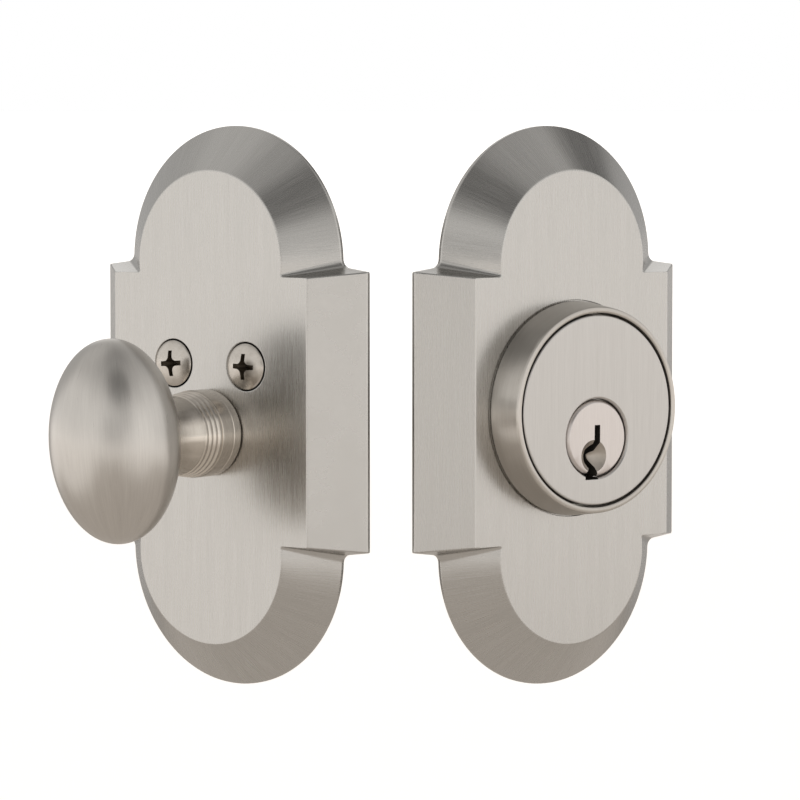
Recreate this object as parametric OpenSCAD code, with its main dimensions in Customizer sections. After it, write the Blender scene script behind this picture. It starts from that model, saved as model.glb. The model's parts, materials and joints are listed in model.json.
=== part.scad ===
// Deadbolt door lock with two bevelled, arch-ended rose plates, in millimetres, +Z up.
// The exterior half (key cylinder) and the interior half (egg thumbturn) stand side by side
// in an outward-facing V, and the latch unit with its bolt lies behind the exterior half.
// The origin is the centre of the exterior plate's back face.

/* [Arrangement] */
// Angle of each plate away from the middle plane
plate_yaw = 37.8; // [25:0.1:45]
// Distance between the back-face centres of the two plates
plate_spacing = 52.25; // [50:0.25:70]
// Position of the latch across the lock
latch_x = 9; // [4:1:12]
// Position of the latch's hub behind the exterior plate
latch_y = 46; // [46:1:80]

/* [Rose plates] */
// Width of a plate
plate_w = 57.15; // [56:0.05:62]
// Overall height of a plate
plate_h = 95.6; // [94:0.1:102]
// Thickness of a plate
plate_t = 7.7; // [7.5:0.1:9]
// Width of the sloping border at the sides and arches
border_w = 7.4; // [6:0.1:8]
// Height of the square edge below the sloping border
edge_t = 0.6; // [0.5:0.1:2]
// Radius of the arch at each end, at the back
arch_r = 23; // [22:0.1:24]
// Half height of the straight sides, at the back
shoulder_z = 23.6; // [23:0.1:24.5]
// How much lower the sides end at the front
shoulder_slope = 1.3; // [1:0.1:3]
// Angle at which the shoulders rise from the sides towards the arches
shoulder_tilt = 7.5; // [2:0.5:9]
// Depth of the pocket in the back of a plate
pocket_d = 4.2; // [4.2:0.1:4.5]

/* [Spindle and screws] */
// How far the spindle lies below the exterior plate's centre
spindle_drop = 4.75; // [4:0.05:5]
// How much lower the interior plate hangs on the door than the exterior plate
interior_sag = 0.6; // [0:0.05:1]
// Half distance between the two mounting screws
screw_x = 8; // [7.5:0.1:9]
// Height of the mounting screws above the interior plate's centre
screw_up = 7.35; // [7:0.05:9]
// Radius of a mounting screw's head
screw_head_r = 4; // [3.6:0.1:4.2]
// Length of a mounting screw behind the plate's back face
screw_reach = 23.5; // [22:0.5:24]

/* [Key cylinder] */
// Radius of the collar at the plate
collar_base_r = 18.25; // [18:0.05:19]
// Radius of the collar at its front
collar_front_r = 17.45; // [17.2:0.05:18]
// How far the collar stands out from the plate
collar_h = 6.6; // [5.5:0.1:8]
// Radius of the cylinder housing's face
face_r = 16.1; // [15.9:0.05:16.2]
// Radius of the cylinder housing behind its face
housing_r = 15.6; // [15.5:0.1:15.7]
// How far the housing reaches behind the plate's back face
housing_back = 15.5; // [15:0.5:18]
// Radius of the plug
plug_r = 6.35; // [6.2:0.05:6.4]
// Number of pin stacks
pin_count = 5; // [4:1:5]
// Distance between pin stacks
pin_pitch = 3.97; // [3.8:0.01:4]
// How far the tailpiece reaches behind the plate's back face
tail_reach = 32; // [30:0.5:35]

/* [Thumbturn] */
// Half width of the egg knob
egg_rx = 11.4; // [10:0.1:12]
// Half height of the egg knob
egg_ry = 17.1; // [15:0.1:18]
// Half depth of the egg knob
egg_rz = 10.3; // [9:0.1:11]
// Height of the egg's centre above the plate's back face
egg_z = 32.1; // [31:0.1:36]
// Radius of the stem's flange
flange_r = 7.4; // [7:0.1:8]

/* [Latch and bolt] */
// Backset, from the hub's centre to the front of the faceplate
backset = 60.3; // [60.3:0.1:70]
// Throw of the bolt
bolt_throw = 25.4; // [20:0.1:25.4]
// Radius of the bolt's rounded top and bottom
bolt_r = 10.7; // [10.4:0.1:10.7]
// Width of the bolt between its flat sides
bolt_w = 15.9; // [14:0.1:16]
// Height of the faceplate
face_h = 57.15; // [57:0.05:60]
// Width of the faceplate
face_w = 25.4; // [25:0.1:28]
// Distance between the faceplate's screws
face_screw_pitch = 41.3; // [40:0.1:42]

/* [Hidden] */
$fn = 96;

eps = 0.01;                 // sliver that lets one cut pass another's face
fit = 0.08;                 // radial clearance of a running fit
satin = [0.74, 0.72, 0.69]; // satin nickel
steel = [0.62, 0.63, 0.65];
brass = [0.80, 0.66, 0.36];
nylon = [0.90, 0.89, 0.85];

half_w = plate_w / 2;
inner_w = half_w - border_w;
arch_z = plate_h / 2 - arch_r;
flat_arch_r = arch_r - border_w;
back_reach = shoulder_z * cos(shoulder_tilt) + half_w * sin(shoulder_tilt);
front_reach = (shoulder_z - shoulder_slope) * cos(shoulder_tilt) + inner_w * sin(shoulder_tilt);
pocket_wall = 6;            // plate material kept round the pocket

collar_top = plate_t + collar_h;
face_z = collar_top - 0.1;  // the housing's face is just below the collar's rim
flange_z = collar_top - 4.1; // underside of the housing's front flange
clip_z = pocket_d - 1.2;    // housing clip, against the pocket's floor
plug_z = face_z - 0.1;
first_pin = 5.9;            // first pin stack behind the face
chamber_r = 1.5;            // bore of a pin chamber
pin_r = 1.42;
shear_y = 0.05;             // play between key pins and driver pins
cover_y = 13.6;             // underside of the chamber cover
cover_w = 4.4;              // the cover's slot along the pin chambers
cover_t = 1.2;
nose_r = 5;                 // the plug's rear nose
nose_len = 3;
cap_r = 7.6;                // the cap that holds the tailpiece on the nose
tail_w = 6.35;              // width and thickness of the tailpiece's blade
tail_t = 1.8;
lug_angle = 18;             // half angle of the drive lugs
lug_z = 0.7;                // height of the drive lugs
post_r = 3.3;               // the posts that take the mounting screws
post_tap_r = 2.1;
post_out = 6.5;             // how far a post stands behind the housing

shaft_r = 5;                // the thumbturn's shaft
tenon_w = 6;                // its square end
stem_z = plate_t + 0.15;    // underside of the stem's flange
seat_z = egg_z - egg_rz * 0.86; // where the stem's neck meets the egg
neck_r = 5.9;               // the stem's neck at the egg
hub_r = 7;                  // the drive hub, which carries the turn into the door
hub_back = 19;              // how far the drive hub reaches behind the back face
tenon_back = 2.6;           // how far the square end reaches behind the back face
hub_pin_z = -1.2;           // the cross pin through the hub and the square end
stop_r = 9.4;               // reach of the drive hub's stop lug
stop_half = 12;             // half angle of the stop lug
support_t = 1.4;            // thickness of the support plate
support_z = 0.1;            // gap between it and the door

cam_z = 11;                 // height of the bolt's drive pin above the hub
half_turn = atan(bolt_throw / 2 / cam_z); // the hub turns this far to each side of upright
lean = half_turn - 45;      // the turn's overtravel past a quarter, at each end
drive_pin_r = 1.2;
arm_x0 = -3.4;              // the hub's arm lies beside the bolt tail
arm_x1 = -1.4;
arm_top = 12.1;             // the arm and tail pass through the door's 25.4 mm edge bore
latch_z = -spindle_drop;
tube_r = 11.8;              // the latch tube, for a 25.4 mm edge bore
tube_y = 22;                // rear end of the latch tube
bolt_y = 25.3;              // rear end of the bolt, drawn back
journal_r = 6;              // the latch hub's bearings in the case
case_half = 5.8;            // half thickness of the latch case
case_t = 1.2;               // sheet thickness of the case
case_h = 22;                // height of the case
case_rear = 18.5;           // how far the case reaches behind the hub
case_gap = 0.05;            // half the joint line between the case halves
plate_front = 2.2;          // thickness of the faceplate
plate_back = 1.2;           // thickness of the backplate

// ---- placing ----

// Local frame of a half: X right, Y up, Z out of the door, origin at the back face's centre.
module on_exterior() rotate([0, 0, plate_yaw]) rotate([90, 0, 0]) children();

module on_interior()
    translate([-plate_spacing, 0, 0]) rotate([0, 0, -plate_yaw]) rotate([90, 0, 0]) children();

// The spindle's axis in the exterior half and in the interior half.
module on_spindle() translate([0, -spindle_drop, 0]) children();

module on_thumbturn() translate([0, interior_sag - spindle_drop, 0]) children();

// Local frame of the latch: Y along the bolt's throw, Z up, origin at the hub's centre.
module on_latch() translate([latch_x, latch_y, latch_z]) children();

module both_screws() for (side = [-1, 1]) translate([side * screw_x, screw_up, 0]) children();

// ---- shared shapes ----

// A cylinder from height z0 to height z1.
module post(r, z0, z1, r2 = undef)
    translate([0, 0, z0]) cylinder(h = z1 - z0, r1 = r, r2 = is_undef(r2) ? r : r2);

// A ring from height z0 to height z1.
module ring(r_out, r_in, z0, z1) difference() {
    post(r_out, z0, z1);
    post(r_in, z0 - 1, z1 + 1);
}

// A block centred in X and Y from height z0 to height z1.
module bar(w, h, z0, z1) translate([-w / 2, -h / 2, z0]) cube([w, h, z1 - z0]);

// A cylinder along X from x0 to x1.
module cross_rod(r, x0, x1) translate([x0, 0, 0]) rotate([0, 90, 0]) cylinder(h = x1 - x0, r = r);

// A cylinder along Y from y0 to y1.
module long_rod(r, y0, y1, r2 = undef)
    translate([0, y0, 0]) rotate([-90, 0, 0])
        cylinder(h = y1 - y0, r1 = r, r2 = is_undef(r2) ? r : r2);

// A wedge of half angle a about direction dir, used to cut sectors.
module wedge(dir, a, r, z0, z1)
    rotate([0, 0, dir]) translate([0, 0, z0]) linear_extrude(z1 - z0)
        polygon([[0, 0], [r, -r * tan(a)], [r, r * tan(a)]]);

// A long block with two bevelled ends, turned so that they slope at the angle of the shoulders.
module shoulder_pair(tilt)
    rotate([0, 0, tilt]) rotate([90, 0, 90]) linear_extrude(2 * plate_w, center = true)
        polygon([[-back_reach, 0], [back_reach, 0], [back_reach, edge_t], [front_reach, plate_t],
            [-front_reach, plate_t], [-back_reach, edge_t]]);

// The plate's solid: a bevelled block with a bevelled arch at each end.
module plate_body() {
    intersection() {
        rotate([90, 0, 0]) linear_extrude(plate_h, center = true)
            polygon([[-half_w, 0], [half_w, 0], [half_w, edge_t], [inner_w, plate_t],
                [-inner_w, plate_t], [-half_w, edge_t]]);
        shoulder_pair(shoulder_tilt);
        shoulder_pair(-shoulder_tilt);
    }
    for (end = [-1, 1]) translate([0, end * arch_z, 0]) {
        post(arch_r, 0, edge_t);
        post(arch_r, edge_t, plate_t, flat_arch_r);
    }
}

// The pocket in the back of a plate.
module plate_pocket() {
    pocket_w = 2 * (half_w - pocket_wall);
    bar(pocket_w, 2 * (shoulder_z - pocket_wall), -1, pocket_d);
    for (end = [-1, 1]) translate([0, end * arch_z, 0]) post(arch_r - pocket_wall, -1, pocket_d);
}

// A coil spring: a tube swept along a helix about +Z.
module coil(r, wire_r, len, turns) {
    sides = 6;
    per_turn = 10;
    steps = turns * per_turn;
    rise = (len - 2 * wire_r) / steps;
    rings = [for (i = [0:steps]) let (a = 360 * i / per_turn, z = wire_r + rise * i)
        [for (j = [0:sides - 1]) let (b = 360 * j / sides, q = r + wire_r * cos(b))
            [q * cos(a), q * sin(a), z + wire_r * sin(b)]]];
    walls = [for (i = [0:steps - 1]) for (j = [0:sides - 1]) let (k = (j + 1) % sides)
        [i * sides + j, i * sides + k, (i + 1) * sides + k, (i + 1) * sides + j]];
    polyhedron([for (ring = rings) each ring],
        concat([[for (j = [sides - 1:-1:0]) j]], walls, [[for (j = [0:sides - 1]) steps * sides + j]]));
}

// ---- exterior half ----

module exterior_plate() color(satin) on_exterior() difference() {
    plate_body();
    plate_pocket();
    post(housing_r + 1.25, -1, plate_t + 1);
}

module cylinder_collar() color(satin) on_exterior() difference() {
    union() {
        post(housing_r + 1.2, pocket_d, plate_t + eps);
        post(collar_base_r, plate_t, collar_top - 0.3, collar_front_r + 0.03);
        post(collar_front_r, collar_top - 0.3, collar_top, collar_front_r - 0.25);
    }
    post(housing_r + 0.05, 0, collar_top + 1);
    post(face_r + 0.35, flange_z, collar_top + 1);
}

// Depth of pin stack i, in the half's own Z.
function pin_z(i) = face_z - first_pin - i * pin_pitch;

module at_pins() for (i = [0:pin_count - 1])
    translate([0, -spindle_drop, pin_z(i)]) rotate([-90, 0, 0]) children();

module cylinder_housing() color(brass) on_exterior() difference() {
    union() {
        post(housing_r, -housing_back, flange_z + eps);
        post(face_r, flange_z + eps, face_z);
    }
    ring(housing_r + 2, housing_r - 0.8, clip_z - 0.05, pocket_d + 0.05);
    on_spindle() {
        post(plug_r + fit, -housing_back - 1, face_z + 1);
        post(plug_r + 0.28, face_z - 1.5, face_z + 1);
        post(plug_r + 0.28, face_z - 0.6, face_z + eps, plug_r + 0.75);
        translate([-2.6, -plug_r - 0.7, face_z - 0.8]) cube([2.9, 1.2, 2]);
    }
    at_pins() post(chamber_r, 0, cover_y + spindle_drop + eps);
    translate([-cover_w / 2, cover_y, pin_z(pin_count - 1) - 2.5])
        cube([cover_w, housing_r, (pin_count - 1) * pin_pitch + 5]);
    translate([0, -interior_sag, 0]) both_screws() post(post_r, -housing_back - 1, -housing_back + 6);
}

// The keyway's outline, a wavering slot that opens at the plug's bottom.
module keyway() polygon([
    [-0.55, 2.25], [0.65, 2.25], [0.65, -0.8], [0, -2.2], [-1.5, -2.7], [-1.4, -3.3], [-0.2, -4.9],
    [0.3, -7], [-2.7, -7], [-2.1, -5.5], [-1.6, -5.1], [-2.5, -3.9], [-2.7, -3], [-2.3, -1.9],
    [-0.6, -0.9]
]);

module cylinder_plug() color(brass) on_exterior() on_spindle() {
    difference() {
        union() {
            post(plug_r, -housing_back, plug_z);
            post(plug_r + 0.15, plug_z - 1.4, plug_z - 0.8);
            post(nose_r, -housing_back - nose_len, -housing_back + eps);
        }
        translate([0, 0, -housing_back + 4]) linear_extrude(housing_back + face_z) keyway();
        translate([-0.6, -3, 0]) post(0.9, plug_z - 1.3, plug_z + eps, 2.8);
        for (i = [0:pin_count - 1])
            translate([0, 0, pin_z(i)]) rotate([-90, 0, 0]) post(chamber_r, -1.2, plug_r + 1);
    }
    intersection() {
        ring(nose_r - 0.1, 3, -housing_back - nose_len - lug_z, -housing_back - nose_len + eps);
        wedge(90, lug_angle, nose_r, -housing_back - nose_len - 1, -housing_back);
    }
}

// Height of key pin i's tip above the plug's centre, one of the cuts of a key.
function cut_y(i) = [0.6, -0.2, 1, 0.2, 0.8][i];

module key_pins() color(brass) on_exterior() for (i = [0:pin_count - 1])
    translate([0, -spindle_drop, pin_z(i)]) rotate([-90, 0, 0]) {
        post(0.5, cut_y(i), cut_y(i) + 0.9, pin_r);
        post(pin_r, cut_y(i) + 0.9, plug_r - 0.22);
    }

module driver_pins() color(steel) on_exterior() at_pins()
    post(pin_r, plug_r + fit + shear_y, plug_r + 4.6);

module pin_springs() color(steel) on_exterior() at_pins()
    translate([0, 0, plug_r + 4.65]) coil(1.1, 0.19, cover_y + spindle_drop - plug_r - 4.7, 5);

module chamber_cover() color(brass) on_exterior()
    translate([-cover_w / 2 + 0.05, cover_y, pin_z(pin_count - 1) - 2.45])
        cube([cover_w - 0.1, cover_t, (pin_count - 1) * pin_pitch + 4.9]);

// Spring clip in the housing's groove: it pulls the collar down on the plate.
module housing_clip() color(steel) on_exterior() difference() {
    ring(housing_r + 3, housing_r - 0.7, clip_z, pocket_d);
    wedge(-90, 12, housing_r + 4, clip_z - 1, pocket_d + 1);
}

module mounting_posts() color(steel) on_exterior()
    translate([0, -interior_sag, 0]) both_screws() difference() {
    post(post_r, -housing_back - post_out, -housing_back + 6);
    post(post_tap_r, -housing_back - post_out - 1, -housing_back + 5);
}

module plug_cap() color(brass) on_exterior() on_spindle() difference() {
    post(cap_r, -housing_back - nose_len - 2.7, -housing_back - 0.3);
    post(nose_r + 0.05, -housing_back - nose_len, -housing_back);
    post(nose_r + 0.6, -housing_back - nose_len - 1.4, -housing_back - nose_len + eps);
    post(3.7, -housing_back - nose_len - 3, -housing_back - nose_len);
}

module tailpiece() color(steel) on_exterior() on_spindle() {
    disc_z = -housing_back - nose_len - 1.3;
    post(nose_r + 0.4, disc_z, disc_z + 0.5);
    intersection() {
        post(nose_r - 0.1, disc_z, disc_z + 1.2);
        union() {
            post(2.6, disc_z, disc_z + 1.2);
            wedge(221, lug_angle, nose_r, disc_z, disc_z + 1.2);
        }
    }
    rotate([0, 0, -lean]) bar(tail_t, tail_w, -tail_reach, disc_z + eps);
}

// ---- interior half ----

module interior_plate() color(satin) on_interior() difference() {
    plate_body();
    plate_pocket();
    on_thumbturn() post(shaft_r + 1.05, -1, plate_t + 1);
    both_screws() {
        post(2.3, -1, plate_t + 1);
        post(2.3, plate_t - 2.1, plate_t + eps, screw_head_r + 0.15);
    }
}

module thumbturn_knob() color(satin) on_interior() on_thumbturn() rotate([0, 0, lean]) difference() {
    translate([0, 0, egg_z]) scale([egg_rx, egg_ry, egg_rz]) sphere(r = 1);
    post(neck_r + 0.05, 0, seat_z);
    post(3, 0, seat_z + 6);
}

// The stem's outline from its flange, over fine rings and a waisted neck, to the egg.
module stem_profile() {
    rings_z = stem_z + 4.9;
    pitch = 1;
    neck_z = rings_z + 4 * pitch;
    polygon(concat(
        [[0, 2.95], [shaft_r, 2.95], [shaft_r, stem_z], [flange_r - 0.2, stem_z],
            [flange_r, stem_z + 0.3], [flange_r, rings_z - 0.3], [flange_r - 0.3, rings_z]],
        [for (i = [0:3]) let (low = rings_z + pitch * i, r = flange_r - 0.1 - 0.15 * i) each [
            [r, low + 0.15], [r, low + 0.8], [r - 0.25, low + 0.95]]],
        [for (i = [0:12]) let (s = i / 12)
            [6.6 + (neck_r - 6.6) * s - 0.4 * sin(180 * s), neck_z + 0.1 + (seat_z - neck_z - 0.1) * s]],
        [[0, seat_z]]));
}

module thumbturn_stem() color(satin) on_interior() on_thumbturn() rotate([0, 0, lean]) {
    rotate_extrude() stem_profile();
    post(2.95, seat_z - eps, seat_z + 5.9);
    post(4.2, 2.05, 2.95 + eps);
    post(shaft_r, 1.95, 2.05 + eps);
    difference() {
        bar(tenon_w, tenon_w, -tenon_back, 1.95 + eps);
        translate([0, 0, hub_pin_z]) cross_rod(0.8, -tenon_w, tenon_w);
    }
}

module spindle_bushing() color(nylon) on_interior() on_thumbturn() difference() {
    union() {
        post(shaft_r + 1, pocket_d - eps, plate_t);
        post(8, pocket_d - 0.8, pocket_d);
    }
    post(shaft_r + fit, 0, plate_t + 1);
}

module wave_washer() color(steel) on_interior() on_thumbturn() ring(7.6, shaft_r + 0.15, 2.97, 3.35);

module stem_clip() color(steel) on_interior() on_thumbturn() difference() {
    ring(7.2, 4.25, 2.15, 2.9);
    wedge(90, 25, 9, 2, 3);
}

// The support plate clamps to the door, and its window stops the drive hub at each end of its turn.
module support_plate() color(steel) on_interior() difference() {
    intersection() {
        post(21, support_z, support_z + support_t);
        bar(41, 34, support_z, support_z + support_t);
    }
    on_thumbturn() {
        post(hub_r + 0.4, 0, 2);
        intersection() {
            post(stop_r + 0.3, 0, 2);
            wedge(-90 - half_turn, half_turn + stop_half + 1, 20, 0, 2);
        }
    }
    both_screws() post(2.4, 0, 2);
}

module drive_hub() color(steel) on_interior() on_thumbturn() difference() {
    union() {
        post(hub_r, -hub_back, 1.9);
        intersection() {
            post(stop_r, support_z + 0.1, support_z + support_t - 0.1);
            wedge(-90, stop_half, stop_r, 0, 2);
        }
    }
    rotate([0, 0, lean]) {
        bar(tenon_w + 0.1, tenon_w + 0.1, -tenon_back - 0.1, 3);
        bar(tail_t + 0.3, tail_w + 0.3, -hub_back - 1, -tenon_back);
        translate([0, 0, hub_pin_z]) cross_rod(0.8, -hub_r - 1, hub_r + 1);
    }
}

module hub_pin() color(steel) on_interior() on_thumbturn()
    rotate([0, 0, lean]) translate([0, 0, hub_pin_z]) cross_rod(0.78, -hub_r + 0.1, hub_r - 0.1);

// Oval-head screws with a cross recess.
module mounting_screws() color(satin) on_interior() both_screws() difference() {
    union() {
        post(2, -screw_reach, plate_t - 2);
        post(2.1, plate_t - 2.1, plate_t, screw_head_r);
        intersection() {
            translate([0, 0, plate_t + 1 - 8.5]) sphere(r = 8.5);
            post(screw_head_r, plate_t - eps, plate_t + 2);
        }
    }
    for (turn = [0, 90]) rotate([0, 0, turn]) bar(4.6, 0.95, plate_t - 1.2, plate_t + 2);
}

// ---- latch and bolt ----

// The section of the bolt: round top and bottom, flat sides, along Y.
module bolt_section(r, w, y0, y1) intersection() {
    long_rod(r, y0, y1);
    translate([-w / 2, y0 - 1, -r - 1]) cube([w, y1 - y0 + 2, 2 * r + 2]);
}

// A round-cornered plate across Y.
module rounded_plate(w, h, r, y0, y1) {
    translate([-w / 2, y0, -h / 2 + r]) cube([w, y1 - y0, h - 2 * r]);
    translate([-w / 2 + r, y0, -h / 2]) cube([w - 2 * r, y1 - y0, h]);
    for (sx = [-1, 1]) for (sz = [-1, 1])
        translate([sx * (w / 2 - r), 0, sz * (h / 2 - r)]) long_rod(r, y0, y1);
}

module face_screws() for (sz = [-1, 1]) translate([0, 0, sz * face_screw_pitch / 2]) children();

module latch_faceplate() color(satin) on_latch() difference() {
    rounded_plate(face_w, face_h, 6.35, backset - plate_front, backset);
    bolt_section(bolt_r + 0.1, bolt_w + 0.4, backset - 10, backset + 10);
    face_screws() {
        long_rod(2.4, 0, backset + 1);
        long_rod(2.4, backset - 1.9, backset + eps, 4.1);
    }
}

module latch_backplate() color(steel) on_latch() difference() {
    rounded_plate(face_w - 0.8, face_h - 0.8, 6, backset - plate_front - plate_back, backset - plate_front);
    long_rod(tube_r + 0.05, 0, backset);
    face_screws() long_rod(2.6, 0, backset);
}

module latch_tube() color(steel) on_latch() difference() {
    long_rod(tube_r, tube_y, backset - plate_front);
    long_rod(bolt_r + fit, tube_y - 1, backset);
}

module bolt() color(satin) on_latch() difference() {
    union() {
        bolt_section(bolt_r, bolt_w, bolt_y, backset - 1);
        intersection() {
            long_rod(bolt_r, backset - 1 - eps, backset, bolt_r - 1);
            translate([-bolt_w / 2, 0, -bolt_r]) cube([bolt_w, backset, 2 * bolt_r]);
        }
    }
    long_rod(3, bolt_y + 10, backset - 4);
    translate([-1.1, 0, -6]) cube([2.2, bolt_y + 8.5, 12.8 + 4]);
    translate([0, bolt_y + 4.2, 0]) cross_rod(1.5, -bolt_w, bolt_w);
}

module bolt_insert() color(steel) on_latch() long_rod(2.95, bolt_y + 10, backset - 4);

// The tail reaches from the bolt over the hub to the drive pin.
module bolt_tail() color(steel) on_latch() {
    pin_y = -bolt_throw / 2;
    boss_r = 2.2;
    neck_top = 10.4;
    translate([1, 0, 0]) rotate([0, -90, 0]) linear_extrude(2) difference() {
        union() {
            polygon([
                [8.2, pin_y], [neck_top, pin_y], [neck_top, 19], [5.5, 23.5], [5.5, bolt_y + 8],
                [-5.5, bolt_y + 8], [-5.5, 12], [-2, 9.5], [8.2, 9.5]
            ]);
            intersection() {
                translate([cam_z, pin_y]) circle(r = boss_r);
                translate([0, pin_y - boss_r]) square([arm_top + 0.5, 2 * boss_r]);
            }
        }
        translate([cam_z, pin_y]) circle(r = drive_pin_r + 0.02);
        translate([0, bolt_y + 4.2]) circle(r = 1.5);
    }
}

module tail_pin() color(steel) on_latch()
    translate([0, bolt_y + 4.2, 0]) cross_rod(1.45, -bolt_w / 2 + 0.2, bolt_w / 2 - 0.2);

// Drives the bolt: it is riveted in the tail and rides in the hub's forked arm.
module drive_pin() color(steel) on_latch()
    translate([0, -bolt_throw / 2, cam_z]) cross_rod(drive_pin_r, arm_x0, 1);

// Where the drive pin stands in the arm's frame when the hub is t degrees past upright.
function cam_point(t) = let (y = bolt_throw / 2 * t / half_turn)
    [y * cos(t) - cam_z * sin(t), y * sin(t) + cam_z * cos(t)];

// The same point moved outwards by d, square to the path.
function cam_edge(t, d) = let (v = cam_point(t + 0.5) - cam_point(t - 0.5))
    cam_point(t) + d * [v[1], -v[0]] / norm(v);

// The forked arm as [across, along] points: its slot lets the bolt move in step with the hub.
module forked_arm() {
    arm_half = 3.8;
    tip = cam_edge(half_turn, drive_pin_r + 0.1);
    roof = [for (y = [arm_half, tip[0]]) (arm_top - y * sin(half_turn)) / cos(half_turn)];
    steps = 16;
    difference() {
        polygon([[-arm_half, 0], [arm_half, 0], [arm_half, roof[0]], [tip[0], roof[1]],
            [-tip[0], roof[1]], [-arm_half, roof[0]]]);
        polygon(concat(
            [for (i = [-steps:steps]) cam_edge(half_turn * i / steps, drive_pin_r + 0.1)],
            [[tip[0], roof[1] + 5], [-tip[0], roof[1] + 5]]));
    }
}

module latch_hub() color(steel) on_latch() difference() {
    union() {
        cross_rod(journal_r, -case_half, case_half);
        cross_rod(7.2, -4.4, 4.4);
        rotate([half_turn, 0, 0]) translate([arm_x0, 0, 0]) rotate([90, 0, 90])
            linear_extrude(arm_x1 - arm_x0) forked_arm();
    }
    rotate([lean, 0, 0]) translate([-case_half - 1, -(tail_t + 0.3) / 2, -(tail_w + 0.3) / 2])
        cube([2 * case_half + 2, tail_t + 0.3, tail_w + 0.3]);
}

// One half of the case: a side with a floor and a rear wall, open above for the arm.
module case_side(side) mirror([side < 0 ? 1 : 0, 0, 0]) difference() {
    inside = [case_half - case_t + 1, case_rear - case_t + tube_y + 1, case_h];
    translate([case_gap, -case_rear, -case_h / 2])
        cube([case_half - case_gap, case_rear + tube_y, case_h]);
    translate([-1, case_t - case_rear, case_t - case_h / 2]) cube(inside);
    translate([-1, -case_rear - 1, case_h / 2 - 7]) cube([inside[0], case_t + 2, 10]);
    cross_rod(journal_r + fit, 0, case_half + 1);
    rivet_places() cross_rod(1.2, 0, case_half + 1);
}

module rivet_places() for (y = [-15.5, 15.5]) translate([0, y, -7.4]) children();

module latch_case_left() color(steel) on_latch() case_side(-1);

module latch_case_right() color(steel) on_latch() case_side(1);

module case_rivets() color(steel) on_latch() rivet_places()
    cross_rod(1.18, -case_half - 0.5, case_half + 0.5);

module faceplate_screws() color(satin) on_latch() face_screws() difference() {
    union() {
        long_rod(0.6, backset - 26, backset - 23, 2);
        long_rod(2, backset - 23 - eps, backset - 1.9);
        long_rod(2.1, backset - 2, backset - 0.1, 4);
    }
    for (turn = [0, 90]) rotate([0, turn, 0]) translate([-2.2, backset - 1.4, -0.45]) cube([4.4, 3, 0.9]);
}

exterior_plate();
cylinder_collar();
cylinder_housing();
cylinder_plug();
key_pins();
driver_pins();
pin_springs();
chamber_cover();
housing_clip();
mounting_posts();
plug_cap();
tailpiece();
interior_plate();
thumbturn_knob();
thumbturn_stem();
spindle_bushing();
wave_washer();
stem_clip();
support_plate();
drive_hub();
hub_pin();
mounting_screws();
latch_faceplate();
latch_backplate();
latch_tube();
bolt();
bolt_insert();
bolt_tail();
tail_pin();
latch_case_left();
latch_case_right();
latch_hub();
drive_pin();
case_rivets();
faceplate_screws();
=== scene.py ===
import json
import math

import bmesh
import bpy
from mathutils import Matrix, Vector


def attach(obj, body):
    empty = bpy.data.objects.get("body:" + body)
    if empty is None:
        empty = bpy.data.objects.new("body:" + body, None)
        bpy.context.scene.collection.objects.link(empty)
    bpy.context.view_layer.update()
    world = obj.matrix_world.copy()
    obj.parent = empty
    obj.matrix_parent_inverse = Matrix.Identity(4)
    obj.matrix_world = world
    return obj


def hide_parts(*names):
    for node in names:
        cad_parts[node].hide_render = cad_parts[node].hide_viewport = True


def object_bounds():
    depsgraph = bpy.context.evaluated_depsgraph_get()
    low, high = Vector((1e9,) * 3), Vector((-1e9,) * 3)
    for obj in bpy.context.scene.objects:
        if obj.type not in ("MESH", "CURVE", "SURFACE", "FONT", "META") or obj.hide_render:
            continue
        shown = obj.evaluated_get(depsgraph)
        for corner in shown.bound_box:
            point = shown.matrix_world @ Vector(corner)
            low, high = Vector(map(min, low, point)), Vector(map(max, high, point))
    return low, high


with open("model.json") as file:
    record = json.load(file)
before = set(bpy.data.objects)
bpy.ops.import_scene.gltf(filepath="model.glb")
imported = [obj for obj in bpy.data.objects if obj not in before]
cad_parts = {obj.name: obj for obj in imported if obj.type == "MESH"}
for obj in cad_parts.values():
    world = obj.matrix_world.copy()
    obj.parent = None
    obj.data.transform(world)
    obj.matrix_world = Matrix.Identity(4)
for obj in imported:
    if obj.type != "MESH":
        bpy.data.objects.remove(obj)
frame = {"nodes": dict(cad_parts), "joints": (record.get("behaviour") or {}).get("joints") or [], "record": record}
cad_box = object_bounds()

MM = 0.001

# ---- sizes in millimetres, the same as the CAD model's ----

PLATE_T = 7.7
EDGE_T = 0.6
POCKET_D = 4.2
BACK = dict(half_w=28.575, shoulder=23.6, tilt=0.131, arch_r=23.0, arch_z=24.8, fillet=1.5, corner=0.3)
FRONT = dict(half_w=21.175, shoulder=22.65, tilt=0.0, arch_r=15.6, arch_z=24.8, fillet=0.5, corner=0.2)
POCKET = dict(half_w=22.575, shoulder=17.6, tilt=0.0, arch_r=17.0, arch_z=24.8, fillet=1.5, corner=1.5)
SPINDLE_DROP = 4.75                    # of the spindle below the exterior plate's centre
THUMB_DROP = 4.15                      # and below the interior plate's, which hangs lower on the door
SCREW_X = 8.0
SCREW_UP = 7.35
SCREW_HEAD_R = 4.0
SCREW_REACH = 23.5
POST_R = 3.3
COLLAR_BASE_R = 18.25
COLLAR_FRONT_R = 17.45
COLLAR_TOP = PLATE_T + 6.6
FLANGE_Z = COLLAR_TOP - 4.1
FACE_R = 16.1
HOUSING_R = 15.6
EGG = (11.4, 17.1, 10.3)
EGG_Z = 32.1
LEAN = math.atan(12.7 / 11) - math.pi / 4
SHAFT_R = 5.0
FLANGE_R = 7.4
STEM_Z = PLATE_T + 0.15
HOUSING_BACK = 15.5
FACE_Z = COLLAR_TOP - 0.1
PLUG_TOP = FACE_Z - 0.05
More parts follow.
